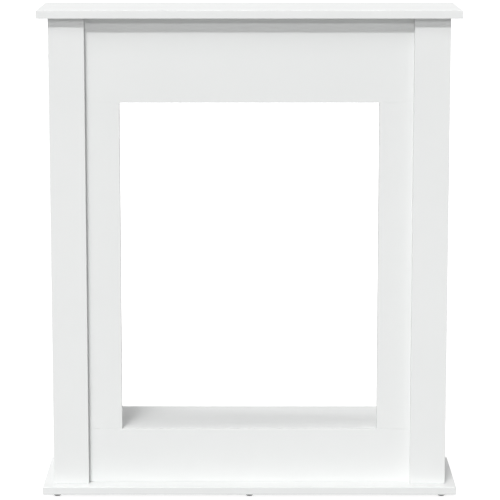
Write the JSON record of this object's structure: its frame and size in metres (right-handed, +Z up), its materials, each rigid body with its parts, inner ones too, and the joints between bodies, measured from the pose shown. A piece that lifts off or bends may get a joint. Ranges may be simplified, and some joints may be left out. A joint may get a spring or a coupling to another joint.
{
  "type": "fireplace mantelpiece",
  "caption": "Straight board-built fireplace surround: mantel shelf, raised pilasters, flat frame around a rectangular opening, hearth shelf and base board on low feet.",
  "frame": {"origin": "on the floor, below the middle of the surround's bounding box, so the treads of the feet are at Z = 0", "axes": "+Z up, -Y out of the front face towards the room, +Y towards the wall, +X to the right seen from the front"},
  "size_m": [0.8, 0.23, 0.942],
  "materials": {
    "white_laminate": "satin",
    "grey_plastic": "matte"
  },
  "bodies": {
    "root": {"base_board": "white_laminate", "mantel_shelf": "white_laminate", "header_panel": "white_laminate", "bottom_rail": "white_laminate", "left_jamb_strip": "white_laminate", "right_jamb_strip": "white_laminate", "left_pilaster": "white_laminate", "right_pilaster": "white_laminate", "left_side_panel": "white_laminate", "right_side_panel": "white_laminate", "hearth_shelf": "white_laminate", "front_foot_1": "grey_plastic", "front_foot_2": "grey_plastic", "front_foot_3": "grey_plastic", "rear_foot_1": "grey_plastic", "rear_foot_2": "grey_plastic", "rear_foot_3": "grey_plastic"}
  },
  "joints": []
}
